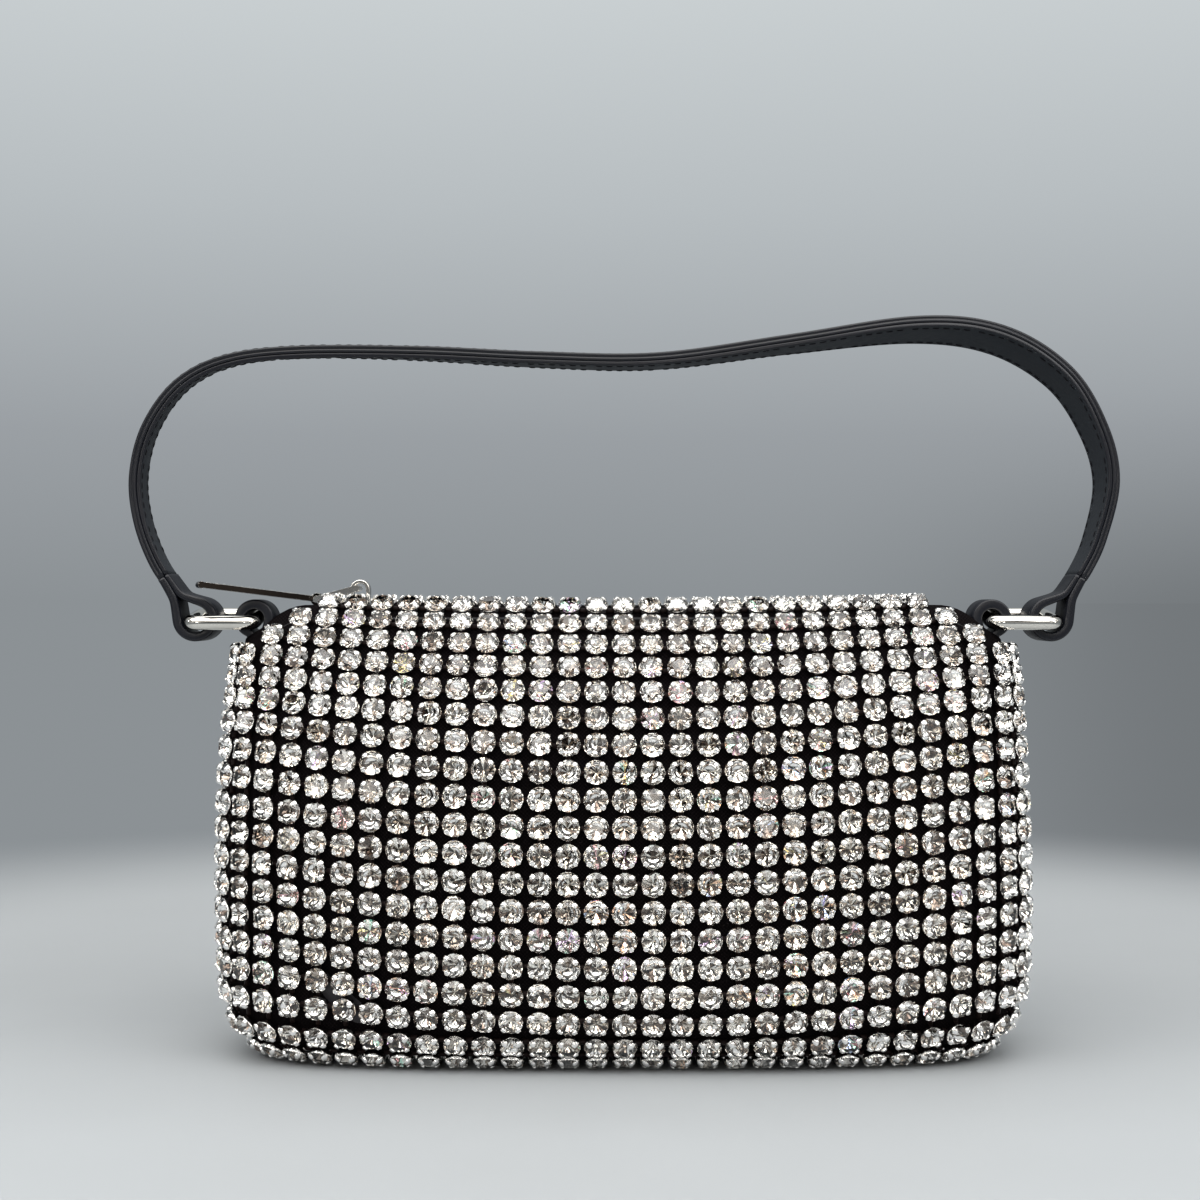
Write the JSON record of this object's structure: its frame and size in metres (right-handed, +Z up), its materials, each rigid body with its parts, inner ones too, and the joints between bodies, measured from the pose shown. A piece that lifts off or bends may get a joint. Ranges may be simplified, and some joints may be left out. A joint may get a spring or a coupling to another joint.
{
  "type": "pouch bag",
  "caption": "Small zip pouch of net set all over with round stones, with a short leather strap on two rectangular rings.",
  "frame": {"origin": "on the floor under the middle of the bag's box", "axes": "+X along the bag towards the end away from the closed zip slider, +Y to the back, +Z up"},
  "size_m": [0.2397, 0.071, 0.1763],
  "materials": {
    "net": "black knitted net with a low sheen",
    "stone": "clear faceted glass in polished silver cups",
    "lining": "black woven lining",
    "zip_tape": "black woven tape",
    "zip_metal": "nickel teeth, lightly dulled",
    "hardware": "polished nickel",
    "leather": "smooth black leather with painted edges",
    "strap_lining": "dark grey smooth lining"
  },
  "bodies": {
    "bag": {"front_net": "net", "back_net": "net", "bottom_net": "net", "left_gusset_net": "net", "right_gusset_net": "net", "front_stones": "stone", "back_stones": "stone", "left_gusset_stones": "stone", "right_gusset_stones": "stone", "bottom_stones": "stone", "base_stones": "stone", "lining": "lining", "zip_tape_front": "zip_tape", "zip_tape_back": "zip_tape", "zip_teeth_front": "zip_metal", "zip_teeth_back": "zip_metal", "zip_stops": "zip_metal", "tab_left": "leather", "tab_right": "leather"},
    "slider": {"slider_body": "hardware", "slider_crown": "hardware"},
    "pull_link": {"pull_link": "hardware"},
    "pull_bar": {"pull_bar": "hardware"},
    "strap_ends": {"strap_loop_left": "leather", "strap_loop_right": "leather"},
    "strap": {"strap_leather": "leather", "strap_lining": "strap_lining"},
    "ring_left": {"ring_left": "hardware"},
    "ring_right": {"ring_right": "hardware"}
  },
  "joints": [
    {"name": "zip_slide", "type": "slide", "parent": "bag", "child": "slider", "axis": [1, 0, 0], "range_m": [0, 0.136], "deforming": ["zip_teeth_front", "zip_teeth_back"]},
    {"name": "link_swing", "type": "hinge", "parent": "slider", "child": "pull_link", "pos_m": [-0.0648, 0, 0.11166], "axis": [0, 1, 0], "range_deg": [0, 100]},
    {"name": "puller_swing", "type": "hinge", "parent": "pull_link", "child": "pull_bar", "pos_m": [-0.07463, 0, 0.10895], "axis": [0, 1, 0], "range_deg": [0, 80]},
    {"name": "strap_lift", "type": "slide", "parent": "bag", "child": "strap_ends", "axis": [0, 0, 1], "range_m": [0, 0.0072]},
    {"name": "strap_swing", "type": "hinge", "parent": "strap_ends", "child": "strap", "pos_m": [0, 0, 0.1198], "axis": [1, 0, 0], "range_deg": [-90, 90]},
    {"name": "ring_left_turn", "type": "hinge", "parent": "bag", "child": "ring_left", "pos_m": [-0.0893, 0, 0.1042], "axis": [0, 1, 0], "range_deg": [0, 33]},
    {"name": "ring_right_turn", "type": "hinge", "parent": "bag", "child": "ring_right", "pos_m": [0.0893, 0, 0.1042], "axis": [0, 1, 0], "range_deg": [-33, 0]}
  ],
  "couplings": [
    {"joint": "ring_left_turn", "follows": "strap_lift", "rad_per_m": 68.5},
    {"joint": "ring_right_turn", "follows": "strap_lift", "rad_per_m": -68.5}
  ]
}
